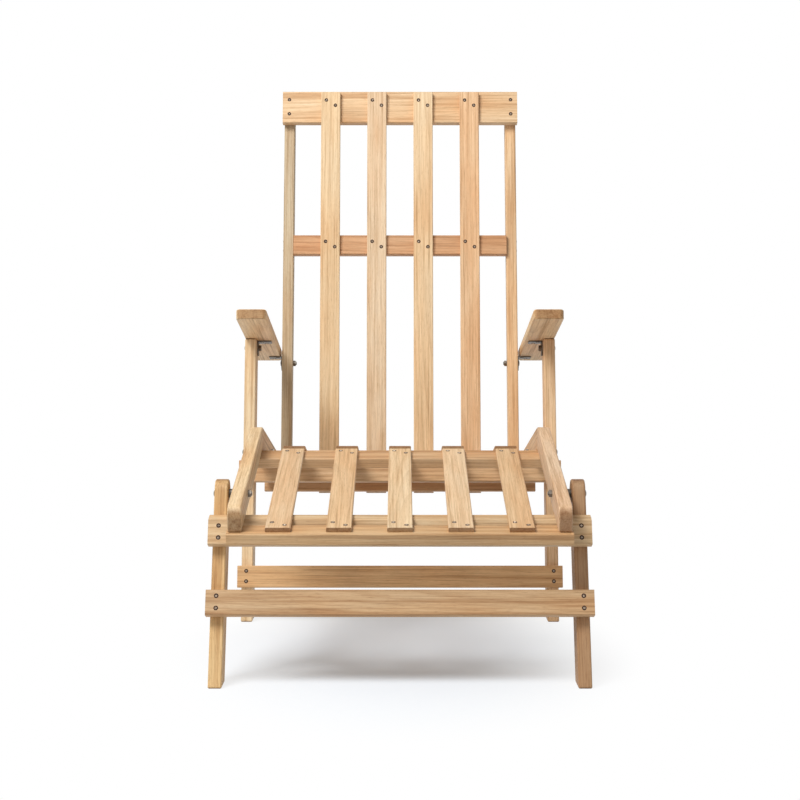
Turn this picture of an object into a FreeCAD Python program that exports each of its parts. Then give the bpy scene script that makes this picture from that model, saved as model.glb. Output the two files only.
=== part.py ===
import FreeCAD, Part

import os
from math import cos, pi, radians, sin, sqrt, tan

# Folding steamer deck chair, in millimetres.
# +X runs to the right as seen from the front, +Y to the back and +Z up.
# Every board is drawn in the side view (Y, Z) and given its width along X.

# Boards
RAIL_THICKNESS = 21.0
LEG_DEPTH = 46.0
SEAT_RAIL_DEPTH = 40.0
BACK_RAIL_DEPTH = 31.0
CROSSBAR_THICKNESS = 18.0
CROSSBAR_HEIGHT = 40.0
TOP_CROSSBAR_HEIGHT = 66.0
SLAT_WIDTH = 39.0
SLAT_THICKNESS = 7.5
SLAT_PITCH = 93.75
ARMREST_WIDTH = 54.0
ARMREST_THICKNESS = 18.0
EDGE_EASE = 1.5
SLAT_EASE = 1.2

# Widths across the chair
OVERALL_WIDTH = 600.0
LEG_CROSSBAR_OVERHANG = 6.0
LEG_GAP = 9.0
SEAT_CROSSBAR_OVERHANG = 2.0
BACK_GAP = 7.0
TOP_CROSSBAR_OVERHANG = 3.0

# Angles in the side view
REAR_TILT = radians(12.5)
CALF_SLOPE = radians(13.0)
FRONT_LEG_LEAN = radians(21.0)

# Lengths along the boards in the side view
REAR_LEG_BELOW_PIVOT = 314.0
ARM_PIVOT_ABOVE_REAR_PIVOT = 202.0
ARM_PIVOT_TO_ARMREST = 13.0
KNEE_TO_REAR_PIVOT = 200.0
REAR_PIVOT_TO_BACK_PIVOT = 162.0
RAIL_BEHIND_BACK_PIVOT = 34.0
KNEE_TO_FRONT_PIVOT = 290.0
FRONT_PIVOT_TO_RAIL_NOSE = 122.0
FRONT_CROSSBAR_PAST_NOSE = 7.0
FRONT_LOWER_CROSSBAR_BELOW_PIVOT = 183.0
REAR_LOWER_CROSSBAR_BELOW_PIVOT = 236.0
ARMREST_AHEAD_OF_LEG = 200.0
ARMREST_BEHIND_REAR_BRACKET = 40.0
BACK_LENGTH_ABOVE_PIVOT = 758.0
BACK_LENGTH_BELOW_PIVOT = 62.0
BACK_RAIL_BELOW_TOP = 3.0
BACK_SLAT_BELOW_TOP = 4.0
MIDDLE_CROSSBAR_ABOVE_PIVOT = 439.0
KNEE_CROSSBAR_SETBACK = 15.0
KNEE_SLAT_SETBACK = 7.0
REAR_CROSSBAR_BEHIND_PIVOT = 77.0
SLAT_END_SETBACK = 2.0
CALF_SLAT_NOSE_SETBACK = 9.0

# Rounded corners
KNEE_ROUNDING = 60.0
NOSE_ROUNDING = 18.0
END_ROUNDING = 3.5
FOOT_ROUNDING = 3.0
ARMREST_CORNER = 8.0

# Hardware
BOLT_RADIUS = 3.5
BOLT_HEAD_RADIUS = 6.5
BOLT_HEAD_HEIGHT = 4.0
LOW_HEAD_RADIUS = 6.0
LOW_HEAD_HEIGHT = 2.5
BOLT_TAIL = 2.0
NUT_ACROSS_FLATS = 11.0
NUT_THICKNESS = 5.0
SPACER_RADIUS = 7.5
RUNNING_CLEARANCE = 0.08
STOP_CLEARANCE = 0.3
BRACKET_THICKNESS = 2.5
BRACKET_WIDTH = 20.0
BRACKET_REACH = 27.0
BRACKET_DROP = 28.0
BRACKET_HOLE_EDGE = 0.5
SCREW_HEAD_RADIUS = 3.6
SCREW_HEAD_HEIGHT = 1.0
SCREW_SHANK_RADIUS = 1.9
SCREW_SIDES = 8
CROSSBAR_SCREW_LENGTH = 34.0
BRACKET_SCREW_LENGTH = 12.0
LEG_SCREW_SPACING = 19.0
TOP_SCREW_SPACING = 30.0
FLAT_SCREW_SPACING = 20.0
BRACKET_SCREW_SPACING = 10.0
BRACKET_SCREW_STAGGER = 8.0

CALF_SLAT_COUNT = 5
BACK_SLAT_COUNT = 4

# Drawing limits: how far a drill runs past a face, gaps and slants that count as none,
# and how many bevel widths long an edge is before it is bevelled
DRILL_OVERRUN = 1.0
TOUCHING = 0.01
PARALLEL = 0.001
SHORTEST_BEVEL = 6.0

parts = {}


def point(y, z):
    return FreeCAD.Vector(0.0, y, z)


def step(start, *moves):
    """A point reached from start by moves of (direction, distance)."""
    place = FreeCAD.Vector(start)
    for direction, distance in moves:
        place = place + direction * distance
    return place


def outline(corners, radii=None):
    """A closed side-view outline whose corners are rounded by the given radii."""
    count = len(corners)
    radii = radii or [0.0] * count
    starts = []
    ends = []
    middles = []
    for index, corner in enumerate(corners):
        before = (corners[index - 1] - corner).normalize()
        after = (corners[(index + 1) % count] - corner).normalize()
        radius = radii[index]
        half_angle = before.getAngle(after) / 2.0
        run = radius / tan(half_angle)
        inward = (before + after).normalize()
        starts.append(corner + before * run)
        ends.append(corner + after * run)
        middles.append(corner + inward * (radius / sin(half_angle) - radius))
    edges = []
    for index in range(count):
        if radii[index] > 0.0:
            edges.append(Part.Arc(starts[index], middles[index], ends[index]).toShape())
        following = starts[(index + 1) % count]
        if ends[index].distanceToPoint(following) > TOUCHING:
            edges.append(Part.LineSegment(ends[index], following).toShape())
    return Part.Wire(edges)


def across(wire, x_low, x_high):
    """The board that a side-view outline sweeps from x_low to x_high."""
    moved = wire.copy()
    moved.translate(FreeCAD.Vector(x_low, 0.0, 0.0))
    return Part.Face(moved).extrude(FreeCAD.Vector(x_high - x_low, 0.0, 0.0))


def runs_along(edge, direction):
    """Whether an edge is straight and parallel to a direction."""
    if not isinstance(edge.Curve, Part.Line):
        return False
    run = edge.Vertexes[-1].Point - edge.Vertexes[0].Point
    return run.normalize().cross(direction).Length < PARALLEL


def ease(board, direction, width):
    """Take a narrow bevel off the edges of a board that run along one direction."""
    shortest = SHORTEST_BEVEL * width
    chosen = [edge for edge in board.Edges if edge.Length > shortest and runs_along(edge, direction)]
    return board.makeChamfer(width, chosen) if chosen else board


def strip(origin, along, normal, start, end, low, high):
    """Corners of a rectangle laid along one direction, between two offsets on its normal."""
    return [
        step(origin, (along, start), (normal, low)),
        step(origin, (along, end), (normal, low)),
        step(origin, (along, end), (normal, high)),
        step(origin, (along, start), (normal, high)),
    ]


def rod(place, x_start, x_end, radius):
    """A round bar along X through a point of the side view."""
    start = FreeCAD.Vector(x_start, place.y, place.z)
    reach = x_end - x_start
    return Part.makeCylinder(radius, abs(reach), start, FreeCAD.Vector(1.0 if reach > 0 else -1.0, 0.0, 0.0))


def drilled(board, places, radius):
    """A board with a hole along X at each place."""
    box = board.BoundBox
    for place in places:
        board = board.cut(rod(place, box.XMin - DRILL_OVERRUN, box.XMax + DRILL_OVERRUN, radius))
    return board


def mirrored(shape):
    return shape.mirror(FreeCAD.Vector(0.0, 0.0, 0.0), FreeCAD.Vector(1.0, 0.0, 0.0))


def pair(name, shape):
    """Keep a piece of the right side and its mirror image on the left."""
    parts[name + "_right"] = shape
    parts[name + "_left"] = mirrored(shape)


def both_sides(shapes):
    return shapes + [mirrored(shape) for shape in shapes]


def group(name, solids):
    parts[name] = Part.makeCompound(solids)


# Layout across the chair, right half

half_width = OVERALL_WIDTH / 2.0
leg_outer = half_width - LEG_CROSSBAR_OVERHANG
leg_inner = leg_outer - RAIL_THICKNESS
seat_rail_outer = leg_inner - LEG_GAP
seat_rail_inner = seat_rail_outer - RAIL_THICKNESS
seat_crossbar_half = seat_rail_outer + SEAT_CROSSBAR_OVERHANG
back_rail_outer = seat_rail_inner - BACK_GAP
back_rail_inner = back_rail_outer - RAIL_THICKNESS
top_crossbar_half = back_rail_outer + TOP_CROSSBAR_OVERHANG
armrest_inner = leg_outer - ARMREST_WIDTH
leg_middle = (leg_outer + leg_inner) / 2.0
seat_rail_middle = (seat_rail_outer + seat_rail_inner) / 2.0
back_rail_middle = (back_rail_outer + back_rail_inner) / 2.0

# Directions and pivots in the side view.
# The rear legs and the back stand square to the rear seat rails, and the armrests lie along them.

rearward = point(cos(REAR_TILT), -sin(REAR_TILT))
upward = point(sin(REAR_TILT), cos(REAR_TILT))
forward = rearward * -1.0
calf_forward = point(-cos(CALF_SLOPE), -sin(CALF_SLOPE))
calf_up = point(-sin(CALF_SLOPE), cos(CALF_SLOPE))
leg_up = point(sin(FRONT_LEG_LEAN), cos(FRONT_LEG_LEAN))
leg_front = point(-cos(FRONT_LEG_LEAN), sin(FRONT_LEG_LEAN))

leg_half = LEG_DEPTH / 2.0
rail_half = SEAT_RAIL_DEPTH / 2.0
back_half = BACK_RAIL_DEPTH / 2.0

rear_pivot = point(0.0, REAR_LEG_BELOW_PIVOT * cos(REAR_TILT))
knee = step(rear_pivot, (forward, KNEE_TO_REAR_PIVOT))
back_pivot = step(rear_pivot, (rearward, REAR_PIVOT_TO_BACK_PIVOT))
front_pivot = step(knee, (calf_forward, KNEE_TO_FRONT_PIVOT))

post_top_above_arm_pivot = ARM_PIVOT_TO_ARMREST - STOP_CLEARANCE
arm_pivot_offset = leg_half - post_top_above_arm_pivot
arm_link = upward * ARM_PIVOT_ABOVE_REAR_PIVOT + rearward * arm_pivot_offset
arm_front_pivot = rear_pivot + arm_link
arm_rear_pivot = back_pivot + arm_link
armrest_behind_leg = arm_pivot_offset + REAR_PIVOT_TO_BACK_PIVOT + ARMREST_BEHIND_REAR_BRACKET


# Seat frame: two boards a side, mitred together at the knee

mitre = (upward + calf_up).normalize()
half_turn = upward.getAngle(calf_up) / 2.0
knee_top = step(knee, (mitre, rail_half / cos(half_turn)))
knee_bottom = step(knee, (mitre, -rail_half / cos(half_turn)))
knee_arc_centre = step(knee_top, (mitre, -KNEE_ROUNDING / cos(half_turn)))
knee_arc_top = step(knee_arc_centre, (mitre, KNEE_ROUNDING))
knee_arc_run = KNEE_ROUNDING * tan(half_turn)


def knee_arc(rail_up, rail_away):
    """Half of the knee's rounded top, from the mitre to where the rail's top runs straight."""
    tangent = step(knee_top, (rail_away, knee_arc_run))
    between = (mitre + rail_up).normalize()
    middle = step(knee_arc_centre, (between, KNEE_ROUNDING))
    return Part.Arc(knee_arc_top, middle, tangent).toShape(), tangent


def seat_rail_board(rail_up, rail_away, length, end_radii):
    """A seat rail board from the mitre to its rounded free end."""
    arc, tangent = knee_arc(rail_up, rail_away)
    top_radius, bottom_radius = end_radii
    top_corner = step(knee, (rail_away, length), (rail_up, rail_half))
    bottom_corner = step(knee, (rail_away, length), (rail_up, -rail_half))
    top_start = step(top_corner, (rail_away, -top_radius))
    top_end = step(top_corner, (rail_up, -top_radius))
    top_centre = step(top_start, (rail_up, -top_radius))
    top_middle = step(top_centre, ((rail_away + rail_up).normalize(), top_radius))
    bottom_start = step(bottom_corner, (rail_up, bottom_radius))
    bottom_end = step(bottom_corner, (rail_away, -bottom_radius))
    bottom_centre = step(bottom_end, (rail_up, bottom_radius))
    bottom_middle = step(bottom_centre, ((rail_away - rail_up).normalize(), bottom_radius))
    edges = [arc, Part.LineSegment(tangent, top_start).toShape()]
    edges.append(Part.Arc(top_start, top_middle, top_end).toShape())
    if top_end.distanceToPoint(bottom_start) > TOUCHING:
        edges.append(Part.LineSegment(top_end, bottom_start).toShape())
    edges.append(Part.Arc(bottom_start, bottom_middle, bottom_end).toShape())
    edges.append(Part.LineSegment(bottom_end, knee_bottom).toShape())
    edges.append(Part.LineSegment(knee_bottom, knee_arc_top).toShape())
    board = across(Part.Wire(edges), seat_rail_inner, seat_rail_outer)
    return ease(board, rail_away, EDGE_EASE)


calf_rail_length = KNEE_TO_FRONT_PIVOT + FRONT_PIVOT_TO_RAIL_NOSE
calf_rail = seat_rail_board(calf_up, calf_forward, calf_rail_length, (NOSE_ROUNDING, END_ROUNDING))
pair("calf_rail", drilled(calf_rail, [front_pivot], BOLT_RADIUS + RUNNING_CLEARANCE))

rear_rail_length = KNEE_TO_REAR_PIVOT + REAR_PIVOT_TO_BACK_PIVOT + RAIL_BEHIND_BACK_PIVOT
seat_rail = seat_rail_board(upward, rearward, rear_rail_length, (rail_half, rail_half))
pair("seat_rail", drilled(seat_rail, [rear_pivot, back_pivot], BOLT_RADIUS + RUNNING_CLEARANCE))


def crossbar(corners, half_length):
    """A crossbar of the full width with eased long edges."""
    board = across(outline(corners), -half_length, half_length)
    return ease(board, FreeCAD.Vector(1.0, 0.0, 0.0), EDGE_EASE)


def flat_crossbar(rail_away, rail_up, start):
    """A crossbar laid flat under the seat rails."""
    low = -rail_half - CROSSBAR_THICKNESS
    corners = strip(knee, rail_away, rail_up, start, start + CROSSBAR_HEIGHT, low, -rail_half)
    return crossbar(corners, seat_crossbar_half)


front_crossbar_start = calf_rail_length + FRONT_CROSSBAR_PAST_NOSE - CROSSBAR_HEIGHT
rear_crossbar_start = KNEE_TO_REAR_PIVOT + REAR_CROSSBAR_BEHIND_PIVOT
parts["seat_front_crossbar"] = flat_crossbar(calf_forward, calf_up, front_crossbar_start)
parts["knee_front_crossbar"] = flat_crossbar(calf_forward, calf_up, KNEE_CROSSBAR_SETBACK)
parts["knee_rear_crossbar"] = flat_crossbar(rearward, upward, KNEE_CROSSBAR_SETBACK)
parts["seat_rear_crossbar"] = flat_crossbar(rearward, upward, rear_crossbar_start)


def seat_slat(rail_away, rail_up, start, end, middle_x):
    """A slat lying on the crossbars, between the rails."""
    corners = strip(knee, rail_away, rail_up, start, end, -rail_half, -rail_half + SLAT_THICKNESS)
    board = across(outline(corners), middle_x - SLAT_WIDTH / 2.0, middle_x + SLAT_WIDTH / 2.0)
    return ease(board, rail_away, SLAT_EASE)


calf_slat_start = KNEE_CROSSBAR_SETBACK + KNEE_SLAT_SETBACK
calf_slat_end = calf_rail_length + FRONT_CROSSBAR_PAST_NOSE - CALF_SLAT_NOSE_SETBACK
seat_slat_start = KNEE_CROSSBAR_SETBACK - SLAT_END_SETBACK
seat_slat_end = rear_crossbar_start + CROSSBAR_HEIGHT - SLAT_END_SETBACK
slat_middles = [(index - (CALF_SLAT_COUNT - 1) / 2.0) * SLAT_PITCH for index in range(CALF_SLAT_COUNT)]
for index, middle_x in enumerate(slat_middles):
    calf_slat = seat_slat(calf_forward, calf_up, calf_slat_start, calf_slat_end, middle_x)
    rear_slat = seat_slat(rearward, upward, seat_slat_start, seat_slat_end, middle_x)
    parts["calf_slat_%d" % (index + 1)] = calf_slat
    parts["seat_slat_%d" % (index + 1)] = rear_slat


# Screws: a low flat head over a plain shank, with few sides because there are many

def prism(place, direction, length, radius):
    """An eight-sided bar from a point along a direction square to X, or along X itself."""
    side_x = FreeCAD.Vector(1.0, 0.0, 0.0)
    first = side_x if abs(direction.x) < 0.5 else FreeCAD.Vector(0.0, 1.0, 0.0)
    second = direction.cross(first).normalize()
    corners = []
    for index in range(SCREW_SIDES + 1):
        angle = 2.0 * pi * index / SCREW_SIDES
        corners.append(place + first * (radius * cos(angle)) + second * (radius * sin(angle)))
    return Part.Face(Part.makePolygon(corners)).extrude(direction * length)


def screw(place, direction, length):
    """A screw whose head stands on a surface at place and whose shank runs along direction."""
    head = prism(place, direction * -1.0, SCREW_HEAD_HEIGHT, SCREW_HEAD_RADIUS)
    shank = prism(place, direction, length, SCREW_SHANK_RADIUS)
    return head.fuse(shank).removeSplitter()


def at(place, x):
    return FreeCAD.Vector(x, place.y, place.z)


frame_seats = []
for rail_away, rail_up, start in (
    (calf_forward, calf_up, front_crossbar_start),
    (calf_forward, calf_up, KNEE_CROSSBAR_SETBACK),
    (rearward, upward, KNEE_CROSSBAR_SETBACK),
    (rearward, upward, rear_crossbar_start),
):
    under = -rail_half - CROSSBAR_THICKNESS
    for side in (-1.0, 1.0):
        distance = start + CROSSBAR_HEIGHT / 2.0 + side * FLAT_SCREW_SPACING / 2.0
        seat = at(step(knee, (rail_away, distance), (rail_up, under)), seat_rail_middle)
        frame_seats.append(screw(seat, rail_up, CROSSBAR_SCREW_LENGTH))
group("seat_frame_screws", both_sides(frame_seats))


# Legs: boards with a round top or a square one, cut level where they stand

def on_floor(place, direction):
    """The point where a line through place meets the floor."""
    return step(place, (direction, -place.z / direction.z))


def level_foot(pivot, up, front, half_depth):
    front_foot = on_floor(step(pivot, (front, half_depth)), up)
    rear_foot = on_floor(step(pivot, (front, -half_depth)), up)
    return front_foot, rear_foot


front_foot, rear_foot = level_foot(front_pivot, leg_up, leg_front, leg_half)
front_leg_corners = [
    front_foot,
    rear_foot,
    step(front_pivot, (leg_up, leg_half), (leg_front, -leg_half)),
    step(front_pivot, (leg_up, leg_half), (leg_front, leg_half)),
]
front_leg_outline = outline(front_leg_corners, [FOOT_ROUNDING, FOOT_ROUNDING, leg_half, leg_half])
front_leg = ease(across(front_leg_outline, leg_inner, leg_outer), leg_up, EDGE_EASE)
pair("front_leg", drilled(front_leg, [front_pivot], BOLT_RADIUS + RUNNING_CLEARANCE))

# The upper crossbar's top is bevelled to lie flat under the calf rails, which stops the legs.
bevel_angle = FRONT_LEG_LEAN + CALF_SLOPE
stop_depth = rail_half + STOP_CLEARANCE
upper_rear_drop = (stop_depth + leg_half * sin(bevel_angle)) / cos(bevel_angle)
upper_front_drop = upper_rear_drop + CROSSBAR_THICKNESS * tan(bevel_angle)
crossbar_front = leg_half + CROSSBAR_THICKNESS
front_upper_corners = [
    step(front_pivot, (leg_up, -upper_front_drop - CROSSBAR_HEIGHT), (leg_front, crossbar_front)),
    step(front_pivot, (leg_up, -upper_front_drop - CROSSBAR_HEIGHT), (leg_front, leg_half)),
    step(front_pivot, (leg_up, -upper_rear_drop), (leg_front, leg_half)),
    step(front_pivot, (leg_up, -upper_front_drop), (leg_front, crossbar_front)),
]
parts["front_leg_upper_crossbar"] = crossbar(front_upper_corners, half_width)


def standing_crossbar(pivot, up, front, centre, height, depth, half_length):
    """A crossbar on the front faces of two boards, its middle at a distance along them."""
    low = centre - height / 2.0
    high = centre + height / 2.0
    corners = strip(pivot, up, front, low, high, depth, depth + CROSSBAR_THICKNESS)
    return crossbar(corners, half_length)


front_upper_centre = -upper_front_drop - CROSSBAR_HEIGHT / 2.0
front_lower_centre = -FRONT_LOWER_CROSSBAR_BELOW_PIVOT
parts["front_leg_lower_crossbar"] = standing_crossbar(
    front_pivot, leg_up, leg_front, front_lower_centre, CROSSBAR_HEIGHT, leg_half, half_width
)


def end_screws(pivot, up, front, centre, depth, x, spacing):
    """Two screws, one over the other, through each end of a crossbar."""
    solids = []
    for side in (-1.0, 1.0):
        face = depth + CROSSBAR_THICKNESS
        seat = at(step(pivot, (up, centre + side * spacing / 2.0), (front, face)), x)
        solids.append(screw(seat, front * -1.0, CROSSBAR_SCREW_LENGTH))
    return both_sides(solids)


group(
    "front_leg_screws",
    end_screws(front_pivot, leg_up, leg_front, front_upper_centre, leg_half, leg_middle, LEG_SCREW_SPACING)
    + end_screws(front_pivot, leg_up, leg_front, front_lower_centre, leg_half, leg_middle, LEG_SCREW_SPACING),
)

post_top = ARM_PIVOT_ABOVE_REAR_PIVOT + post_top_above_arm_pivot
rear_leg_front_foot, rear_leg_rear_foot = level_foot(rear_pivot, upward, forward, leg_half)
rear_leg_corners = [
    rear_leg_front_foot,
    rear_leg_rear_foot,
    step(rear_pivot, (upward, post_top), (rearward, leg_half)),
    step(rear_pivot, (upward, post_top), (forward, leg_half)),
]
rear_leg_radii = [FOOT_ROUNDING, FOOT_ROUNDING, post_top_above_arm_pivot, END_ROUNDING]
rear_leg_outline = outline(rear_leg_corners, rear_leg_radii)
rear_leg = ease(across(rear_leg_outline, leg_inner, leg_outer), upward, EDGE_EASE)
pair("rear_leg", drilled(rear_leg, [rear_pivot, arm_front_pivot], BOLT_RADIUS + RUNNING_CLEARANCE))

rear_upper_centre = -stop_depth - CROSSBAR_HEIGHT / 2.0
rear_lower_centre = -REAR_LOWER_CROSSBAR_BELOW_PIVOT
parts["rear_leg_upper_crossbar"] = standing_crossbar(
    rear_pivot, upward, forward, rear_upper_centre, CROSSBAR_HEIGHT, leg_half, half_width
)
parts["rear_leg_lower_crossbar"] = standing_crossbar(
    rear_pivot, upward, forward, rear_lower_centre, CROSSBAR_HEIGHT, leg_half, half_width
)
group(
    "rear_leg_screws",
    end_screws(rear_pivot, upward, forward, rear_upper_centre, leg_half, leg_middle, LEG_SCREW_SPACING)
    + end_screws(rear_pivot, upward, forward, rear_lower_centre, leg_half, leg_middle, LEG_SCREW_SPACING),
)


# Armrests and their angle brackets

def armrest():
    """A flat board along the rear legs' tops, past the rear bracket, its top edges and corners rounded."""
    leg_place = step(rear_pivot, (upward, ARM_PIVOT_ABOVE_REAR_PIVOT + ARM_PIVOT_TO_ARMREST))
    corners = strip(
        leg_place, rearward, upward, -ARMREST_AHEAD_OF_LEG, armrest_behind_leg, 0.0, ARMREST_THICKNESS
    )
    board = across(outline(corners), armrest_inner, leg_outer)
    upright = [edge for edge in board.Edges if runs_along(edge, upward)]
    board = board.makeFillet(ARMREST_CORNER, upright)
    rims = [edge for edge in board.Edges if not runs_along(edge, upward)]
    return board.makeChamfer(EDGE_EASE, rims)


pair("armrest", armrest())


def bracket(pivot, face_x, side):
    """An angle of strip metal: one leg under the armrest, one beside the pivot, turned to one side in X."""
    near = face_x
    far = face_x + side * BRACKET_THICKNESS
    tip = face_x + side * BRACKET_REACH
    top = ARM_PIVOT_TO_ARMREST
    half = BRACKET_WIDTH / 2.0
    hanging = strip(pivot, rearward, upward, -half, half, top - BRACKET_DROP, top)
    radii = [half - BRACKET_HOLE_EDGE, half - BRACKET_HOLE_EDGE, 0.0, 0.0]
    upright_leg = across(outline(hanging, radii), min(near, far), max(near, far))
    lying = strip(pivot, rearward, upward, -half, half, top - BRACKET_THICKNESS, top)
    flat_leg = across(outline(lying), min(near, tip), max(near, tip))
    return drilled(upright_leg.fuse(flat_leg).removeSplitter(), [pivot], BOLT_RADIUS + RUNNING_CLEARANCE)


pair("armrest_front_bracket", bracket(arm_front_pivot, leg_inner, -1.0))
pair("armrest_rear_bracket", bracket(arm_rear_pivot, back_rail_outer, 1.0))


def bracket_screws(pivot, face_x, side):
    solids = []
    under = ARM_PIVOT_TO_ARMREST - BRACKET_THICKNESS
    for share in (-1.0, 1.0):
        seat = at(
            step(pivot, (upward, under), (rearward, share * BRACKET_SCREW_SPACING / 2.0)),
            face_x + side * (BRACKET_REACH + share * BRACKET_SCREW_STAGGER) / 2.0,
        )
        solids.append(screw(seat, upward, BRACKET_SCREW_LENGTH))
    return solids


pair(
    "armrest_bracket_screws",
    Part.makeCompound(
        bracket_screws(arm_front_pivot, leg_inner, -1.0)
        + bracket_screws(arm_rear_pivot, back_rail_outer, 1.0)
    ),
)


# Back frame

back_corners = strip(
    back_pivot,
    upward,
    forward,
    -BACK_LENGTH_BELOW_PIVOT,
    BACK_LENGTH_ABOVE_PIVOT - BACK_RAIL_BELOW_TOP,
    -back_half,
    back_half,
)
back_rail_outline = outline(back_corners, [back_half / 2.0, END_ROUNDING, END_ROUNDING, back_half / 2.0])
back_rail = ease(across(back_rail_outline, back_rail_inner, back_rail_outer), upward, EDGE_EASE)
pair("back_rail", drilled(back_rail, [back_pivot, arm_rear_pivot], BOLT_RADIUS + RUNNING_CLEARANCE))

top_centre = BACK_LENGTH_ABOVE_PIVOT - TOP_CROSSBAR_HEIGHT / 2.0
top_low_edge = BACK_LENGTH_ABOVE_PIVOT - TOP_CROSSBAR_HEIGHT
lower_centre = -stop_depth - CROSSBAR_HEIGHT / 2.0
parts["back_top_crossbar"] = standing_crossbar(
    back_pivot, upward, forward, top_centre, TOP_CROSSBAR_HEIGHT, back_half, top_crossbar_half
)
parts["back_lower_crossbar"] = standing_crossbar(
    back_pivot, upward, forward, lower_centre, CROSSBAR_HEIGHT, back_half, seat_crossbar_half
)

# The slats run straight from behind the lower crossbar to the front of the top crossbar.
slat_rise = CROSSBAR_THICKNESS + SLAT_THICKNESS
slat_run = top_low_edge + stop_depth
slat_slope = slat_rise / slat_run
slat_length_factor = sqrt(1.0 + slat_slope * slat_slope)
slat_along = (upward + forward * slat_slope) * (1.0 / slat_length_factor)
slat_front = (forward - upward * slat_slope) * (1.0 / slat_length_factor)
slat_foot = step(back_pivot, (upward, -stop_depth), (forward, back_half))
back_slat_low = -(BACK_LENGTH_BELOW_PIVOT - stop_depth)
back_slat_high = BACK_LENGTH_ABOVE_PIVOT - BACK_SLAT_BELOW_TOP + stop_depth
back_slat_corners = strip(
    slat_foot, slat_along, slat_front, back_slat_low, back_slat_high, -SLAT_THICKNESS, 0.0
)
back_middles = [(index - (BACK_SLAT_COUNT - 1) / 2.0) * SLAT_PITCH for index in range(BACK_SLAT_COUNT)]
for index, middle_x in enumerate(back_middles):
    slat_low_x = middle_x - SLAT_WIDTH / 2.0
    board = across(outline(back_slat_corners), slat_low_x, slat_low_x + SLAT_WIDTH)
    parts["back_slat_%d" % (index + 1)] = ease(board, slat_along, SLAT_EASE)

# The middle crossbar stands between the rails and touches the slats' rear faces.
middle_low_edge = MIDDLE_CROSSBAR_ABOVE_PIVOT - CROSSBAR_HEIGHT / 2.0
middle_front = back_half + (middle_low_edge + stop_depth) * slat_slope - SLAT_THICKNESS * slat_length_factor
parts["back_middle_crossbar"] = standing_crossbar(
    back_pivot,
    upward,
    forward,
    MIDDLE_CROSSBAR_ABOVE_PIVOT,
    CROSSBAR_HEIGHT,
    middle_front - CROSSBAR_THICKNESS,
    back_rail_inner,
)

# Its screws come through the rails, halfway into the depth that rail and crossbar share.
middle_screw_depth = (middle_front - CROSSBAR_THICKNESS + back_half) / 2.0
middle_screws = []
for side in (-1.0, 1.0):
    seat = step(
        back_pivot,
        (upward, MIDDLE_CROSSBAR_ABOVE_PIVOT + side * LEG_SCREW_SPACING / 2.0),
        (forward, middle_screw_depth),
    )
    middle_screws.append(
        screw(at(seat, back_rail_outer), FreeCAD.Vector(-1.0, 0.0, 0.0), CROSSBAR_SCREW_LENGTH)
    )
group(
    "back_frame_screws",
    end_screws(back_pivot, upward, forward, top_centre, back_half, back_rail_middle, TOP_SCREW_SPACING)
    + end_screws(back_pivot, upward, forward, lower_centre, back_half, back_rail_middle, LEG_SCREW_SPACING)
    + both_sides(middle_screws),
)


# Pivot hardware

def domed_head(place, x_face, side, radius, height):
    """A low domed bolt head standing on a face."""
    sphere_radius = (radius * radius + height * height) / (2.0 * height)
    centre_x = x_face + side * (height - sphere_radius)
    ball = Part.makeSphere(sphere_radius, at(place, centre_x))
    reach = 2.0 * sphere_radius
    low_x = min(x_face, x_face + side * reach)
    low_corner = FreeCAD.Vector(low_x, place.y - reach, place.z - reach)
    slab = Part.makeBox(reach, 2.0 * reach, 2.0 * reach, low_corner)
    return ball.common(slab)


def bolt(place, x_head, x_tail, radius, height):
    """A domed bolt from its head's face to its tail."""
    side = 1.0 if x_head > x_tail else -1.0
    shank = rod(place, x_tail, x_head, BOLT_RADIUS)
    return shank.fuse(domed_head(place, x_head, side, radius, height)).removeSplitter()


def hexagon(place, x_low, x_high):
    """A nut with its bore."""
    corner = NUT_ACROSS_FLATS / sqrt(3.0)
    corners = []
    for index in range(6):
        angle = index * pi / 3.0
        corners.append(place + point(corner * cos(angle), corner * sin(angle)))
    return drilled(across(outline(corners), x_low, x_high), [place], BOLT_RADIUS + RUNNING_CLEARANCE)


def spacer(place, x_low, x_high):
    """A ring of metal that keeps two boards apart on their bolt."""
    return drilled(rod(place, x_low, x_high, SPACER_RADIUS), [place], BOLT_RADIUS + RUNNING_CLEARANCE)


leg_nut_x = seat_rail_inner - NUT_THICKNESS
back_nut_x = back_rail_inner - NUT_THICKNESS
arm_nut_x = leg_inner - BRACKET_THICKNESS - NUT_THICKNESS
rear_head_x = back_rail_outer + BRACKET_THICKNESS

group(
    "front_pivot_bolts",
    both_sides([bolt(front_pivot, leg_outer, leg_nut_x - BOLT_TAIL, BOLT_HEAD_RADIUS, BOLT_HEAD_HEIGHT)]),
)
short_tail_x = leg_nut_x + BOLT_TAIL / 2.0
long_tail_x = back_nut_x - BOLT_TAIL
group(
    "rear_pivot_bolts",
    both_sides([bolt(rear_pivot, leg_outer, short_tail_x, BOLT_HEAD_RADIUS, BOLT_HEAD_HEIGHT)]),
)
group(
    "back_pivot_bolts",
    both_sides([bolt(back_pivot, seat_rail_outer, long_tail_x, BOLT_HEAD_RADIUS, BOLT_HEAD_HEIGHT)]),
)
group(
    "pivot_nuts",
    both_sides(
        [
            hexagon(front_pivot, leg_nut_x, seat_rail_inner),
            hexagon(rear_pivot, leg_nut_x, seat_rail_inner),
            hexagon(back_pivot, back_nut_x, back_rail_inner),
        ]
    ),
)
group(
    "pivot_spacers",
    both_sides(
        [
            spacer(front_pivot, seat_rail_outer, leg_inner),
            spacer(rear_pivot, seat_rail_outer, leg_inner),
            spacer(back_pivot, back_rail_outer, seat_rail_inner),
        ]
    ),
)
group(
    "armrest_front_bolts",
    both_sides([bolt(arm_front_pivot, leg_outer, arm_nut_x, BOLT_HEAD_RADIUS, BOLT_HEAD_HEIGHT)]),
)
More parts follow.
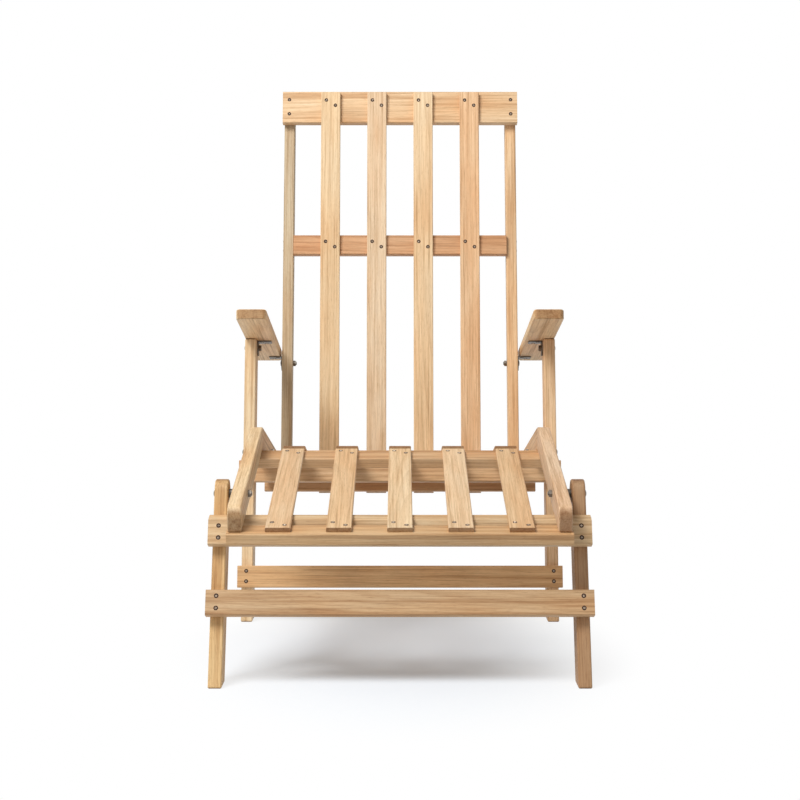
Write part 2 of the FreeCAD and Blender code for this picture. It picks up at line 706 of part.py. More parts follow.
group("armrest_front_nuts", both_sides([hexagon(arm_front_pivot, arm_nut_x, arm_nut_x + NUT_THICKNESS)]))
group(
    "armrest_rear_bolts",
    both_sides([bolt(arm_rear_pivot, rear_head_x, long_tail_x, LOW_HEAD_RADIUS, LOW_HEAD_HEIGHT)]),
)
group("armrest_rear_nuts", both_sides([hexagon(arm_rear_pivot, back_nut_x, back_rail_inner)]))


# The origin lies on the floor under the middle of the chair's width and depth.

def place_on_origin():
    lows = [shape.BoundBox.YMin for shape in parts.values()]
    highs = [shape.BoundBox.YMax for shape in parts.values()]
    return FreeCAD.Vector(0.0, -(min(lows) + max(highs)) / 2.0, 0.0)


origin_shift = place_on_origin()
os.makedirs("parts", exist_ok=True)
for name, shape in parts.items():
    shape.translate(origin_shift)
    shape.exportStep("parts/%s.step" % name)

for label, pivot in (
    ("front pivot", front_pivot),
    ("rear pivot", rear_pivot),
    ("back pivot", back_pivot),
    ("armrest front pivot", arm_front_pivot),
    ("armrest rear pivot", arm_rear_pivot),
):
    moved = pivot + origin_shift
    print("%s at y %.3f, z %.3f" % (label, moved.y, moved.z))
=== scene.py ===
import math
import bpy
import numpy as np
from mathutils import Matrix, Vector


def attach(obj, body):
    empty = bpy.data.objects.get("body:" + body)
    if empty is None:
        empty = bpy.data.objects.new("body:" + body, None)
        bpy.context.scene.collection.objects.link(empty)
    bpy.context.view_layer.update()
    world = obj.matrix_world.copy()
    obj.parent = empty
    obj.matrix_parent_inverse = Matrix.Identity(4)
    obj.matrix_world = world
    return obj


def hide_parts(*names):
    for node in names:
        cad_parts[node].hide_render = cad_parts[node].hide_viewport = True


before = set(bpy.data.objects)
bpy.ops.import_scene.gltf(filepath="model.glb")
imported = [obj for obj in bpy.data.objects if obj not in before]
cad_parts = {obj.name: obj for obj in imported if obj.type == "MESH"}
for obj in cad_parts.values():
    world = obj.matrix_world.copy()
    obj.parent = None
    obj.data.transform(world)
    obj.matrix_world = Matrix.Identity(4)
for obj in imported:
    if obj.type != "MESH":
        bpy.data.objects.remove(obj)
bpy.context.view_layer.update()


# Seat side rails: two teak boards a side, mitred and glued at the knee, with every leg hinged to them.
# Planed, sanded and lightly oiled; the grain runs with each board, and the rounded ends show end grain.

SAME_PLACE_DIGITS = 6


def corner_points(node):
    """The corner points of a CAD node's mesh, one row each."""
    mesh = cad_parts[node].data
    points = np.empty(len(mesh.vertices) * 3)
    mesh.vertices.foreach_get("co", points)
    return points.reshape(-1, 3)


def board_axes(node):
    """Middle, grain direction, width direction and thickness direction of a board, longest side first."""
    points = np.unique(corner_points(node).round(SAME_PLACE_DIGITS), axis=0)
    middle = (points.min(0) + points.max(0)) / 2.0
    axes = np.linalg.svd(points - points.mean(0), full_matrices=False)[2]
    reach = (points - middle) @ axes.T
    middle = middle + ((reach.min(0) + reach.max(0)) / 2.0) @ axes
    return Vector(middle), Vector(axes[0]), Vector(axes[1]), Vector(axes[2])


def shade(tree, kind, inputs=None, **settings):
    """A shader node with its settings, and its inputs given as numbers or as sockets to link from."""
    node = tree.nodes.new(kind)
    for name, value in settings.items():
        setattr(node, name, value)
    for key, value in (inputs or {}).items():
        if isinstance(value, bpy.types.NodeSocket):
            tree.links.new(value, node.inputs[key])
        else:
            node.inputs[key].default_value = value
    return node


def ramp(tree, source, stops):
    """A colour ramp with the given (place, colour) stops."""
    node = tree.nodes.new("ShaderNodeValToRGB")
    tree.links.new(source, node.inputs["Fac"])
    while len(node.color_ramp.elements) < len(stops):
        node.color_ramp.elements.new(0.5)
    for element, (place, colour) in zip(node.color_ramp.elements, stops):
        element.position = place
        element.color = (*colour, 1.0)
    return node.outputs["Color"]


def grey(level):
    """The same level in all three channels."""
    return (level, level, level)


def linear(red, green, blue):
    """A display colour, given from 0 to 255, as linear light."""
    shares = [value / 255.0 for value in (red, green, blue)]
    return tuple(s / 12.92 if s < 0.04045 else ((s + 0.055) / 1.055) ** 2.4 for s in shares)


def scaled(colour, factors):
    """A colour with each channel times its factor, at most 1."""
    return tuple(min(1.0, channel * factor) for channel, factor in zip(colour, factors))


def bare_material(name):
    """A new material and its empty node tree."""
    material = bpy.data.materials.new(name)
    material.use_nodes = True
    material.node_tree.nodes.clear()
    return material, material.node_tree


def show(tree, shader):
    """Make a shader the surface of its material."""
    shade(tree, "ShaderNodeOutputMaterial", {"Surface": shader})


def drawn_noise(tree, along, lengthwise, crosswise, detail, roughness=0.6):
    """Noise with so many waves per metre along the grain and across it."""
    drawn = shade(tree, "ShaderNodeMapping", {"Vector": along, "Scale": (lengthwise, crosswise, crosswise)})
    noise = shade(tree, "ShaderNodeTexNoise", {
        "Vector": drawn.outputs["Vector"], "Scale": 1.0, "Detail": detail, "Roughness": roughness,
    })
    return noise.outputs["Fac"]


def tinted(tree, share, colour, tint):
    """A colour multiplied by a tint, by the given share."""
    mixed = shade(tree, "ShaderNodeMix", {
        "Factor": share, "A": colour, "B": tint,
    }, data_type="RGBA", blend_type="MULTIPLY")
    return mixed.outputs["Result"]


# Each board is sawn from its own place in one log: its number times the stride, within the log's size
LOG_STRIDE = (1.37, 0.61, 0.23)
LOG_SIZE = (5.0, 3.0, 2.0)

# The pith lies to one side of the board's middle too, by this share of its distance
PITH_ASIDE = 0.35


def teak_rings(tree, along, number, log_place, pith, slant):
    """Year rings, from 0 in early wood to 1 in late wood, with the sharp dark edge of each year.
    They are cylinders round a pith line that lies beside the board and slants across it, so they cut its
    faces as long arches."""
    side = 1.0 if number % 2 else -1.0
    pith_place = log_place + Vector((0.0, side * pith * PITH_ASIDE, -pith))
    pith_turn = (0.0, slant * (1.0 + number % 3), slant * side)
    from_pith = shade(tree, "ShaderNodeMapping", {"Vector": along, "Location": -pith_place})
    leant = shade(tree, "ShaderNodeMapping", {"Vector": from_pith.outputs["Vector"], "Rotation": pith_turn})
    drawn = shade(tree, "ShaderNodeMapping", {"Vector": leant.outputs["Vector"], "Scale": (0.10, 1.0, 1.0)})
    rings = shade(tree, "ShaderNodeTexWave", {
        "Vector": drawn.outputs["Vector"], "Scale": 84.0, "Distortion": 2.4, "Detail": 2.0,
        "Detail Scale": 0.35, "Detail Roughness": 0.6,
    }, wave_type="RINGS", rings_direction="X", wave_profile="SAW")
    return ramp(tree, rings.outputs["Fac"], [
        (0.0, grey(0.0)), (0.55, grey(0.10)), (0.93, grey(1.0)), (1.0, grey(0.0)),
    ])


def teak(node, number, tone, ring_depth=0.28, pith=0.09, slant=0.010, bands=0.75):
    """Oiled teak for one board: year rings, and noise drawn out along the grain for bands, streaks, fibres
    and pores. Ring_depth and bands are strengths from 0 to 1. Pith is how far the log's middle lies off the
    board's, across its thickness, in metres. The log leans by about 1 to 3 times slant, in radians, as the
    board's number says."""
    middle, grain, width, thick = board_axes(node)
    turn = Matrix((grain, width, thick))
    if turn.determinant() < 0.0:
        turn = Matrix((grain, width, -thick))
    log_place = Vector([number * stride % size for stride, size in zip(LOG_STRIDE, LOG_SIZE)])
    material, tree = bare_material("teak_" + node)
    place = shade(tree, "ShaderNodeTexCoord")
    lie = shade(tree, "ShaderNodeMapping", {
        "Vector": place.outputs["Object"],
        "Rotation": turn.to_euler(),
        "Location": log_place - turn @ middle,
    })
    along = lie.outputs["Vector"]
    rings = teak_rings(tree, along, number, log_place, pith, slant)
    drift = drawn_noise(tree, along, lengthwise=5.0, crosswise=22.0, detail=3.0, roughness=0.55)
    band = drawn_noise(tree, along, lengthwise=2.2, crosswise=95.0, detail=2.0)
    streak = drawn_noise(tree, along, lengthwise=5.0, crosswise=270.0, detail=3.0)
    fibre = drawn_noise(tree, along, lengthwise=14.0, crosswise=900.0, detail=3.0)
    pore = drawn_noise(tree, along, lengthwise=75.0, crosswise=1700.0, detail=1.0, roughness=0.5)
    pore_mask = ramp(tree, pore, [(0.30, grey(0.0)), (0.40, grey(1.0))])

    # Early and late wood, on a slow drift of the board's own tone
    light_wood = linear(*tone)
    late_wood = scaled(light_wood, (0.62, 0.52, 0.42))
    pale_wood = scaled(light_wood, (1.02, 1.10, 1.20))
    warm_wood = scaled(light_wood, (0.95, 0.85, 0.76))
    body = ramp(tree, drift, [(0.30, warm_wood), (0.50, light_wood), (0.70, pale_wood)])
    ring_share = shade(tree, "ShaderNodeMath", {0: rings, 1: ring_depth}, operation="MULTIPLY")
    ringed = shade(tree, "ShaderNodeMix", {
        "Factor": ring_share.outputs[0], "A": body, "B": (*late_wood, 1.0),
    }, data_type="RGBA")

    # Streaks a few millimetres wide, darker bands, fine fibres, and the short dark pores between them
    colour = tinted(tree, 0.9, ringed.outputs["Result"], ramp(tree, streak, [
        (0.30, (0.66, 0.57, 0.48)), (0.43, (0.92, 0.89, 0.85)),
        (0.54, grey(1.0)), (0.72, (1.03, 1.05, 1.07)),
    ]))
    colour = tinted(tree, bands, colour, ramp(tree, band, [(0.36, (0.72, 0.62, 0.52)), (0.50, grey(1.0))]))
    colour = tinted(tree, 0.8, colour, ramp(tree, fibre, [
        (0.30, (0.76, 0.71, 0.65)), (0.52, grey(1.0)), (0.75, (1.05, 1.06, 1.07)),
    ]))
    colour = tinted(tree, 0.55, colour, ramp(tree, pore_mask, [
        (0.0, (0.62, 0.53, 0.44)), (1.0, grey(1.0)),
    ]))

    # End grain drinks more oil and shows darker where a face cuts across the fibres
    facing = shade(tree, "ShaderNodeVectorMath", {
        0: place.outputs["Normal"], 1: grain,
    }, operation="DOT_PRODUCT")
    cut = shade(tree, "ShaderNodeMath", {0: facing.outputs["Value"]}, operation="ABSOLUTE")
    end_mask = ramp(tree, cut.outputs[0], [(0.45, grey(0.0)), (0.85, grey(1.0))])
    colour = tinted(tree, end_mask, colour, (0.52, 0.42, 0.33, 1.0))

    roughness = shade(tree, "ShaderNodeMapRange", {"Value": fibre, "To Min": 0.62, "To Max": 0.46})
    relief = shade(tree, "ShaderNodeMath", {0: fibre, 1: pore_mask}, operation="MULTIPLY")
    bump = shade(tree, "ShaderNodeBump", {
        "Height": relief.outputs[0], "Strength": 0.30, "Distance": 0.0004,
    })
    wood = shade(tree, "ShaderNodeBsdfPrincipled", {
        "Base Color": colour,
        "Roughness": roughness.outputs["Result"],
        "Normal": bump.outputs["Normal"],
        "Specular IOR Level": 0.35,
    })
    show(tree, wood.outputs["BSDF"])
    return material


def dress(node, material):
    """Give a CAD node its finish in every material slot."""
    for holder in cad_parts[node].material_slots:
        holder.material = material


def dress_boards(tones, first_number, **grain):
    """Give each board its own teak: its tone, and its number in the log."""
    for number, (node, tone) in enumerate(tones, first_number):
        dress(node, teak(node, number, tone, **grain))


dress_boards((
    ("calf_rail_left", (226, 197, 155)),
    ("calf_rail_right", (224, 190, 154)),
    ("seat_rail_left", (226, 192, 148)),
    ("seat_rail_right", (224, 188, 146)),
), first_number=3)


# Seat crossbars: four flat teak boards screwed up under the side rails.
# The front one carries the noses of the calf slats; the two at the knee meet under the mitre.

dress_boards((
    ("seat_front_crossbar", (208, 170, 124)),
    ("knee_front_crossbar", (208, 168, 124)),
    ("knee_rear_crossbar", (206, 164, 119)),
    ("seat_rear_crossbar", (212, 170, 125)),
), first_number=11, pith=0.07)


# Seat slats: ten thin teak slats, five over the calf and five over the seat, planed with eased edges.
# Each lies on two crossbars and is held by two screws at either end, set on a diagonal.

SLAT_SCREW_INSET = 0.018
SLAT_SCREW_ACROSS = 0.010
SLAT_SCREW_ALONG = 0.006
slat_tones = ((220, 188, 149), (221, 186, 143), (227, 198, 158), (227, 196, 157), (220, 186, 144))
slat_numbers = range(1, len(slat_tones) + 1)
calf_slats = ["calf_slat_%d" % number for number in slat_numbers]
seat_slats = ["seat_slat_%d" % number for number in slat_numbers]
dress_boards(zip(calf_slats, slat_tones), first_number=21, ring_depth=0.26, pith=0.05, bands=0.35)
dress_boards(zip(seat_slats, slat_tones), first_number=31, pith=0.06, bands=0.35)


def steel(name, tone, roughness, scuffs):
    """Satin steel, slightly dulled: broad noise shifts its brightness, and fine noise its roughness and
    surface."""
    material, tree = bare_material(name)
    place = shade(tree, "ShaderNodeTexCoord")
    grit = shade(tree, "ShaderNodeTexNoise", {
        "Vector": place.outputs["Object"], "Scale": 900.0, "Detail": 3.0, "Roughness": 0.6,
    })
    patch = shade(tree, "ShaderNodeTexNoise", {
        "Vector": place.outputs["Object"], "Scale": 160.0, "Detail": 2.0, "Roughness": 0.5,
    })
    bright = linear(*tone)
    dull = scaled(bright, grey(1.0 - scuffs))
    colour = ramp(tree, patch.outputs["Fac"], [(0.35, dull), (0.62, bright)])
    rough = shade(tree, "ShaderNodeMapRange", {
        "Value": grit.outputs["Fac"], "To Min": roughness - 0.08, "To Max": roughness + 0.10,
    })
    bump = shade(tree, "ShaderNodeBump", {
        "Height": grit.outputs["Fac"], "Strength": 0.12, "Distance": 0.0001,
    })
    metal = shade(tree, "ShaderNodeBsdfPrincipled", {
        "Base Color": colour,
        "Roughness": rough.outputs["Result"],
        "Normal": bump.outputs["Normal"],
        "Metallic": 1.0,
    })
    show(tree, metal.outputs["BSDF"])
    return material


def painted_countersink_shade():
    """Painted shade of a countersink: a dark brown ring round a screw head, where the real sunk hole lies in
    shadow.
    """
    material, tree = bare_material("painted_countersink_shade")
    place = shade(tree, "ShaderNodeTexCoord")
    shade_mottle = shade(tree, "ShaderNodeTexNoise", {
        "Vector": place.outputs["Object"], "Scale": 420.0, "Detail": 2.0, "Roughness": 0.5,
    })
    # Dark brown painted shade, mottled by noise, for the shadow inside a countersink
    colour = ramp(tree, shade_mottle.outputs["Fac"], [(0.3, linear(34, 20, 12)), (0.7, linear(76, 46, 28))])
    wood = shade(tree, "ShaderNodeBsdfPrincipled", {"Base Color": colour, "Roughness": 0.8})
    show(tree, wood.outputs["BSDF"])
    return material


screw_steel = steel("screw_steel", (196, 182, 164), roughness=0.34, scuffs=0.35)
# The dark ring round each screw head is painted shade: the boards have no sunk holes to cast it
painted_hole_shade = painted_countersink_shade()

# A screw's profile in metres, from the middle of its head over the ring of painted countersink shade and
# down to its tip
SCREW_RADII = [0.0004, 0.0007, 0.0010, 0.0012, 0.0014, 0.0016, 0.0017, 0.0037, 0.0017, 0.0017]
SCREW_HEIGHTS = [0.00075, 0.00073, 0.00069, 0.00062, 0.00052, 0.00038, 0.0001, 0.0001, -0.0012, -0.0075]
PAINTED_SHADE_FROM_RING = 6
PAINTED_SHADE_BANDS = 2
SCREW_SECTORS = 16
CROSS_DEPTH = 0.0007
CROSS_REACH = 0.0013
HEAD_TURN_STEP = 0.7
CRISP_RIM_ANGLE = math.radians(38.0)


def turned_bodies(seats, outward, radii, heights, sectors, cross_depth):
    """Points and side faces of bodies turned from one profile, one body for each seat.
    Ring k has radius r(k) and height h(k) above the seat, and a point on it has the angle t. In a head,
    where r is under CROSS_REACH, the height is lowered by cross_depth * max(0, 2 |cos 2t| - 1), a cross
    recess. Each body is turned HEAD_TURN_STEP radians further than the one before."""
    seats = np.asarray(seats, float)
    outward = np.asarray(outward, float)
    outward = outward / np.linalg.norm(outward, axis=1, keepdims=True)
    helper = np.where(np.abs(outward[:, :1]) < 0.5, [[1.0, 0.0, 0.0]], [[0.0, 1.0, 0.0]])
    first = np.cross(outward, helper)
    first = first / np.linalg.norm(first, axis=1, keepdims=True)
    second = np.cross(outward, first)
    angle = np.linspace(0.0, 2.0 * np.pi, sectors, endpoint=False)[None, None, :]
    radius = np.asarray(radii, float)[None, :, None] * np.ones((len(seats), 1, sectors))
    height = np.asarray(heights, float)[None, :, None] * np.ones((len(seats), 1, sectors))
    arms = np.clip(2.0 * np.abs(np.cos(2.0 * angle)) - 1.0, 0.0, 1.0)
    height = height - cross_depth * arms * ((radius < CROSS_REACH) & (height > 0.0))
    swing = angle + HEAD_TURN_STEP * np.arange(len(seats))[:, None, None]
    points = (
        seats[:, None, None, :]
        + (radius * np.cos(swing))[..., None] * first[:, None, None, :]
        + (radius * np.sin(swing))[..., None] * second[:, None, None, :]
        + height[..., None] * outward[:, None, None, :]
    )
    rings = len(radii)
    body_start = (np.arange(len(seats)) * rings * sectors)[:, None, None]
    ring_start = body_start + (np.arange(rings - 1) * sectors)[None, :, None]
    now = np.arange(sectors)[None, None, :]
    after = (now + 1) % sectors
    faces = np.stack([
        ring_start + now, ring_start + sectors + now, ring_start + sectors + after, ring_start + after,
    ], axis=-1)
    return points.reshape(-1, 3), faces.reshape(-1, 4)


def fasteners(
    name, seats, outward, radii, heights, material, body, sectors, cross_depth=0.0, painted_shade_ring=False
):
    """One piece of like fasteners that rides on a body, each closed at both ends.
    Where asked for, the bands round the heads carry painted shade: a dark ring that stands for the shadow in
    a countersink."""
    points, faces = turned_bodies(seats, outward, radii, heights, sectors, cross_depth)
    rings = len(radii)
    caps = []
    for index in range(len(seats)):
        start = index * rings * sectors
        end = start + rings * sectors
        caps.append(list(range(start, start + sectors)))
        caps.append(list(range(end - 1, end - sectors - 1, -1)))
    mesh = bpy.data.meshes.new(name)
    mesh.from_pydata(points.tolist(), [], faces.tolist() + caps)
    mesh.materials.append(material)
    mesh.materials.append(painted_hole_shade)
    # The bands round the heads get the painted countersink shade
    if painted_shade_ring:
        band = np.tile(np.repeat(np.arange(rings - 1), sectors), len(seats)) - PAINTED_SHADE_FROM_RING
        marks = np.zeros(len(mesh.polygons), int)
        marks[: len(band)] = (band >= 0) & (band < PAINTED_SHADE_BANDS)
        mesh.polygons.foreach_set("material_index", marks)
    mesh.polygons.foreach_set("use_smooth", np.arange(len(mesh.polygons)) < len(faces))
    mesh.validate()
    mesh.update()
    piece = bpy.data.objects.new(name, mesh)
    bpy.context.scene.collection.objects.link(piece)
    rims = piece.modifiers.new("crisp rims", "EDGE_SPLIT")
    rims.split_angle = CRISP_RIM_ANGLE
    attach(piece, body)
    return piece


def screws(name, seats, outward, body, heights=SCREW_HEIGHTS):
    """Countersunk screws with a cross recess, each in a ring of painted shade that stands for its
    countersink.
    """
    return fasteners(
        name, seats, outward, SCREW_RADII, heights, screw_steel, body,
        SCREW_SECTORS, CROSS_DEPTH, painted_shade_ring=True,
    )


def slat_face(slat, facing):
    """Middle, grain direction, outward direction, half length and half thickness of a slat.
    Outward is the slat's thickness direction on the side that faces the given way."""
    middle, grain, _, thick = board_axes(slat)
    outward = thick if thick.dot(facing) > 0.0 else -thick
    reach = corner_points(slat) - np.array(middle)
    half_length = np.abs(reach @ np.array(grain)).max()
    half_thickness = (reach @ np.array(outward)).max()
    return middle, grain, outward, half_length, half_thickness


slat_seats = []
slat_ups = []
for slat_pair in zip(calf_slats, seat_slats):
    for slat in slat_pair:
        middle, grain, up, half_length, half_thickness = slat_face(slat, Vector((0.0, 0.0, 1.0)))
        for end in (-1.0, 1.0):
            for step in (-1.0, 1.0):
                lengthwise = end * (half_length - SLAT_SCREW_INSET) + step * SLAT_SCREW_ALONG
                aside = Vector((step * SLAT_SCREW_ACROSS, 0.0, 0.0))
                slat_seats.append(middle + grain * lengthwise + up * half_thickness + aside)
                slat_ups.append(up)
screws("seat_slat_screws", slat_seats, slat_ups, "seat")


# Seat frame screws: steel wood screws driven up through the flat crossbars into the side rails.
# Each has a low flat head with a cross recess, sunk into a dark ring of painted shade that stands for its
# countersink.

# How deep a head is sunk in metres, the share of the widest reach that counts as head, and the loop's limit
HEAD_SINK = 0.001
HEAD_SHARE = 0.8
MOST_PASSES = 400


def fastener_lines(node):
    """Outer end, outward direction and length of each separate fastener in a CAD node.
    Triangles that share a corner take the smallest label among them until nothing changes. A fastener's
    outer end is the one with its head, where its corners lie furthest from its axis."""
    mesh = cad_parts[node].data
    mesh.calc_loop_triangles()
    points, link = np.unique(corner_points(node).round(SAME_PLACE_DIGITS), axis=0, return_inverse=True)
    corners = np.empty(len(mesh.loop_triangles) * 3, dtype=np.int32)
    mesh.loop_triangles.foreach_get("vertices", corners)
    corners = link.reshape(-1)[corners].reshape(-1, 3)
    label = np.arange(len(points))
    for _ in range(MOST_PASSES):
        least = label[corners].min(axis=1)
        fresh = label.copy()
        np.minimum.at(fresh, corners.reshape(-1), np.repeat(least, 3))
        if (fresh == label).all():
            break
        label = fresh
    lines = []
    for mark in np.unique(label):
        own = points[label == mark]
        middle = (own.min(0) + own.max(0)) / 2.0
        axis = np.linalg.svd(own - own.mean(0), full_matrices=False)[2][0]
        reach = (own - middle) @ axis
        off = np.linalg.norm((own - middle) - reach[:, None] * axis, axis=1)
        if reach[off > HEAD_SHARE * off.max()].mean() < 0.0:
            axis = -axis
            reach = -reach
        lines.append((Vector(middle + axis * reach.max()), Vector(axis), reach.max() - reach.min()))
    return lines


def wood_screws(node, body):
    """Detailed wood screws in the places of a CAD node's plain ones, which they replace."""
    lines = fastener_lines(node)
    length = lines[0][2]
    seats = [end - axis * HEAD_SINK for end, axis, _ in lines]
    heights = SCREW_HEIGHTS[:-1] + [HEAD_SINK - length]
    piece = screws(node + "_turned", seats, [axis for _, axis, _ in lines], body, heights)
    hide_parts(node)


wood_screws("seat_frame_screws", "seat")


# Pivot bolts, nuts and spacers: domed steel bolts through rail and leg, with a ring of steel between them.
# The nuts are tightened against the rails' inner faces, so each leg turns on the bolt's plain shank.

# All lengths are in metres, and the dome's first angle is in radians; a head has a radius and a height
BOLT_SECTORS = 32
DOME_POINTS = 8
DOME_START = 0.12
DOME_RIM = 0.0006
SHANK_RADIUS = 0.0035
SHANK_TIP_RADIUS = 0.0030
SHANK_TIP_BEVEL = 0.0005
PIVOT_HEAD = (0.0065, 0.004)
# Bolt, nut and spacer steel carry painted shade: their tones are far darker than bright steel, so they look
# as dark as the shaded pivots
bolt_steel = steel("bolt_steel", (138, 130, 120), roughness=0.30, scuffs=0.35)
ring_steel = steel("spacer_steel", (112, 105, 97), roughness=0.40, scuffs=0.40)


def domed_bolts(node, body, head):
    """Turned bolts in the places of a CAD node's bolts, with a head of the given radius R and height H.
    At the angle a the dome has r = R sin a and h = (H - rim) cos a + rim, a quarter ellipse over a thin
    straight rim."""
    head_radius, head_height = head
    lines = fastener_lines(node)
    shank_end = head_height - lines[0][2]
    seats = [end - axis * head_height for end, axis, _ in lines]
    angle = np.linspace(DOME_START, 0.5 * np.pi, DOME_POINTS)
    radii = list(head_radius * np.sin(angle)) + [head_radius, SHANK_RADIUS, SHANK_RADIUS, SHANK_TIP_RADIUS]
    heights = list((head_height - DOME_RIM) * np.cos(angle) + DOME_RIM)
    heights += [0.0, 0.0, shank_end + SHANK_TIP_BEVEL, shank_end]
    piece = fasteners(
        node + "_turned", seats, [axis for _, axis, _ in lines], radii, heights, bolt_steel, body,
        BOLT_SECTORS,
    )
    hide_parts(node)


for node in ("front_pivot_bolts", "rear_pivot_bolts", "back_pivot_bolts"):
    domed_bolts(node, "seat", PIVOT_HEAD)
dress("pivot_nuts", bolt_steel)
dress("pivot_spacers", ring_steel)


# Front legs: two teak boards with round tops, hinged outside the side rails and cut level where they stand.
# Two crossbars are screwed to their front faces; the bevelled upper one bears under the rails as the stop.

dress_boards((
    ("front_leg_left", (221, 182, 128)),
    # The right leg's darker tone is partly darker wood and partly painted shade from the crossbar and rail
    # end above it
    ("front_leg_right", (178, 141, 104)),
    ("front_leg_upper_crossbar", (214, 184, 143)),
    ("front_leg_lower_crossbar", (202, 165, 123)),
), first_number=41, pith=0.08)
wood_screws("front_leg_screws", "front_legs")


# Rear legs: two long teak boards from the floor to the armrests, hinged outside the side rails.
# The upper crossbar bears under the rails as the stop, and the lower one ties the legs near the floor.

dress_boards((
    ("rear_leg_left", (237, 211, 171)),
    ("rear_leg_right", (238, 200, 156)),
    ("rear_leg_upper_crossbar", (216, 176, 132)),
    ("rear_leg_lower_crossbar", (222, 178, 128)),
), first_number=51, pith=0.08)
wood_screws("rear_leg_screws", "rear_legs")
domed_bolts("armrest_front_bolts", "rear_legs", PIVOT_HEAD)
dress("armrest_front_nuts", bolt_steel)


# Armrests: flat teak boards with rounded corners, each on two steel angle brackets screwed up from below.
# The front bracket is bolted to the rear leg's top and the rear one to the back, so that the armrest stays
# parallel to the seat while the chair folds.

armrest_tone = (236, 204, 160)
# The bracket steel's dark tone is painted shade, as it lies in the shadow under the armrest
bracket_steel = steel("bracket_steel", (122, 115, 107), roughness=0.42, scuffs=0.40)
dress_boards((
    ("armrest_left", armrest_tone),
    ("armrest_right", armrest_tone),
), first_number=61, ring_depth=0.32, pith=0.06)
for side in ("left", "right"):
    dress("armrest_front_bracket_" + side, bracket_steel)
    dress("armrest_rear_bracket_" + side, bracket_steel)
    wood_screws("armrest_bracket_screws_" + side, "armrest_" + side)


# Back frame: two teak rails joined by a wide top crossbar, a middle crossbar and a lower crossbar.
# Top and lower crossbars are screwed to the rails' front faces, and the middle one stands between them.

BRACKET_BOLT_HEAD = (0.006, 0.0025)
dress_boards((
    ("back_rail_left", (200, 177, 143)),
    ("back_rail_right", (236, 197, 152)),
    ("back_top_crossbar", (229, 193, 150)),
    ("back_middle_crossbar", (213, 165, 122)),
    ("back_lower_crossbar", (214, 168, 122)),
), first_number=71, pith=0.07)
wood_screws("back_frame_screws", "back")
domed_bolts("armrest_rear_bolts", "back", BRACKET_BOLT_HEAD)
dress("armrest_rear_nuts", bolt_steel)


# Back slats: four long teak slats from behind the lower crossbar to the front of the top crossbar.
# Two screws on a diagonal hold each slat at the top crossbar and at the middle one.

BACK_SCREW_ACROSS = 0.0092
BACK_SCREW_ALONG = 0.0055
back_tones = ((230, 198, 155), (231, 203, 168), (234, 201, 158), (233, 193, 150))
back_slats = ["back_slat_%d" % number for number in range(1, len(back_tones) + 1)]
dress_boards(
    zip(back_slats, back_tones), first_number=81, ring_depth=0.20, pith=0.05, slant=0.006, bands=0.25,
)

# The bars that the slats are screwed to, and how far above each bar's middle the screws stand
screwed_bars = (("back_top_crossbar", 0.007), ("back_middle_crossbar", 0.0))
back_seats = []
back_fronts = []
for slat in back_slats:
    middle, grain, front, _, half_thickness = slat_face(slat, Vector((0.0, -1.0, 0.0)))
    rising = grain if grain.z > 0.0 else -grain
    for bar, lift in screwed_bars:
        level = (board_axes(bar)[0] - middle).dot(rising) + lift
        for step in (-1.0, 1.0):
            lengthwise = level - step * BACK_SCREW_ALONG
            aside = Vector((step * BACK_SCREW_ACROSS, 0.0, 0.0))
            back_seats.append(middle + rising * lengthwise + front * half_thickness + aside)
            back_fronts.append(front)
screws("back_slat_screws", back_seats, back_fronts, "back")


# Floor and light: a plain pale floor that fades to white, one wide soft light from the upper left and a
# weak one in front. The surroundings fill the shadows evenly, and metal sees the white that the camera sees.

FLOOR_REACH = 30.0


def seen_straight(tree, ray):
    """1 for what the camera or a gloss reflection sees, and 0 for what lights the chair."""
    straight = shade(tree, "ShaderNodeMath", {
        0: ray.outputs["Is Camera Ray"], 1: ray.outputs["Is Glossy Ray"],
    }, operation="MAXIMUM")
    return straight.outputs[0]


def paper_floor():
    """Pale matte floor. Its share of plain white grows with the distance from the chair."""
    mesh = bpy.data.meshes.new("studio_floor")
    mesh.from_pydata([
        (-FLOOR_REACH, -FLOOR_REACH, 0.0), (FLOOR_REACH, -FLOOR_REACH, 0.0),
        (FLOOR_REACH, FLOOR_REACH, 0.0), (-FLOOR_REACH, FLOOR_REACH, 0.0),
    ], [], [(0, 1, 2, 3)])
    floor = bpy.data.objects.new("studio_floor", mesh)
    bpy.context.scene.collection.objects.link(floor)
    material, tree = bare_material("floor_paper")
    place = shade(tree, "ShaderNodeTexCoord")
    under = shade(tree, "ShaderNodeMapping", {
        "Vector": place.outputs["Object"], "Location": (0.0, 0.2, 0.0), "Scale": (1.5, 1.0, 1.0),
    })
    distance = shade(tree, "ShaderNodeVectorMath", {0: under.outputs["Vector"]}, operation="LENGTH")
    fade = shade(tree, "ShaderNodeMapRange", {
        "Value": distance.outputs["Value"],
        "From Min": 0.15, "From Max": 0.62, "To Min": 0.12, "To Max": 1.0,
    }, interpolation_type="SMOOTHSTEP")
    ray = shade(tree, "ShaderNodeLightPath")
    share = shade(tree, "ShaderNodeMath", {
        0: fade.outputs["Result"], 1: seen_straight(tree, ray),
    }, operation="MULTIPLY")
    matte = shade(tree, "ShaderNodeBsdfDiffuse", {"Color": (0.80, 0.85, 0.91, 1.0)})
    white = shade(tree, "ShaderNodeEmission", {"Color": (1.0, 1.0, 1.0, 1.0), "Strength": 1.0})
    blend = shade(tree, "ShaderNodeMixShader", {
        0: share.outputs[0], 1: matte.outputs["BSDF"], 2: white.outputs["Emission"],
    })
    show(tree, blend.outputs["Shader"])
    mesh.materials.append(material)


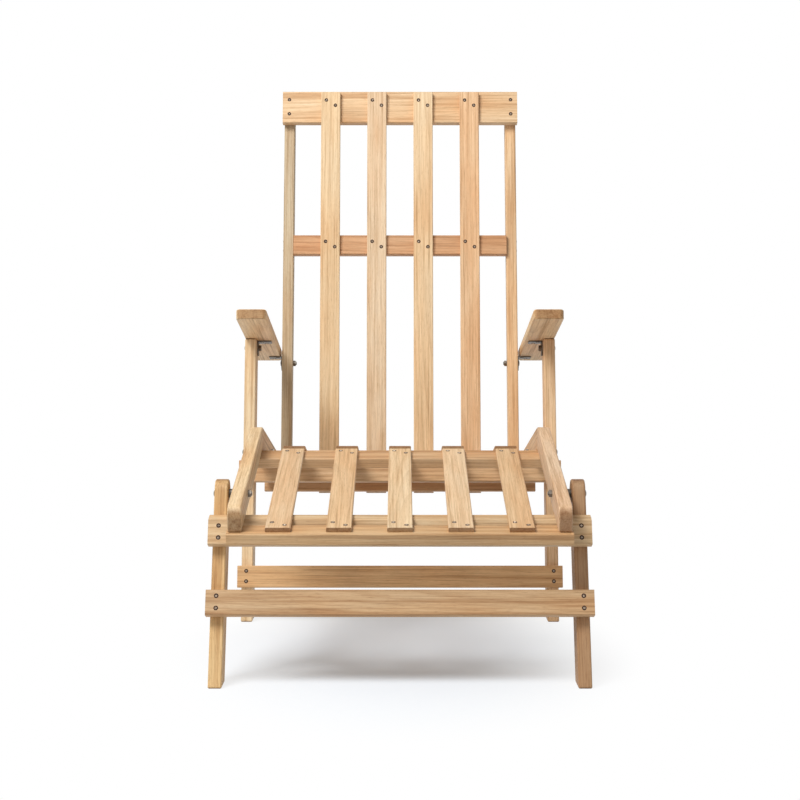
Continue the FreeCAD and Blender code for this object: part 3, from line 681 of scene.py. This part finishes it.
def studio_surroundings():
    """A dim even fill for the chair, and plain white for the camera, for gloss and for glass."""
    world = bpy.data.worlds.new("studio")
    bpy.context.scene.world = world
    world.use_nodes = True
    tree = world.node_tree
    tree.nodes.clear()
    ray = shade(tree, "ShaderNodeLightPath")
    direct = shade(tree, "ShaderNodeMath", {
        0: seen_straight(tree, ray), 1: ray.outputs["Is Transmission Ray"],
    }, operation="MAXIMUM")
    fill = shade(tree, "ShaderNodeBackground", {"Color": (1.0, 0.99, 0.98, 1.0), "Strength": 0.34})
    backdrop = shade(tree, "ShaderNodeBackground", {"Color": (1.0, 1.0, 1.0, 1.0), "Strength": 1.0})
    mixed = shade(tree, "ShaderNodeMixShader", {
        0: direct.outputs[0], 1: fill.outputs["Background"], 2: backdrop.outputs["Background"],
    })
    shade(tree, "ShaderNodeOutputWorld", {"Surface": mixed.outputs["Shader"]})


def soft_light(name, place, target, size, power):
    """A square studio light that faces a target."""
    data = bpy.data.lights.new(name, "AREA")
    data.size = size
    data.energy = power
    lamp = bpy.data.objects.new(name, data)
    lamp.location = place
    lamp.rotation_euler = (Vector(target) - Vector(place)).to_track_quat("-Z", "Y").to_euler()
    bpy.context.scene.collection.objects.link(lamp)


paper_floor()
studio_surroundings()
soft_light("key_light", place=(-1.3, -1.5, 2.9), target=(0.0, 0.0, 0.5), size=1.4, power=98.0)
soft_light("front_light", place=(-0.8, -3.2, 1.9), target=(0.0, 0.1, 0.6), size=2.0, power=6.0)


# Camera: at the photograph's place, straight in front and a little above the seat, pitched slightly down.

CAMERA_PLACE = (0.0, -2.9248, 0.5905)
CAMERA_PITCH_DOWN = 3.46
SENSOR_WIDTH_MM = 36.0
LENS_MM = 73.15

camera_data = bpy.data.cameras.new("front_camera")
camera_data.sensor_width = SENSOR_WIDTH_MM
camera_data.lens = LENS_MM
camera = bpy.data.objects.new("front_camera", camera_data)
camera.location = CAMERA_PLACE
camera.rotation_euler = (math.radians(90.0 - CAMERA_PITCH_DOWN), 0.0, 0.0)
bpy.context.scene.collection.objects.link(camera)
bpy.context.scene.camera = camera
bpy.context.scene.view_settings.view_transform = "Standard"
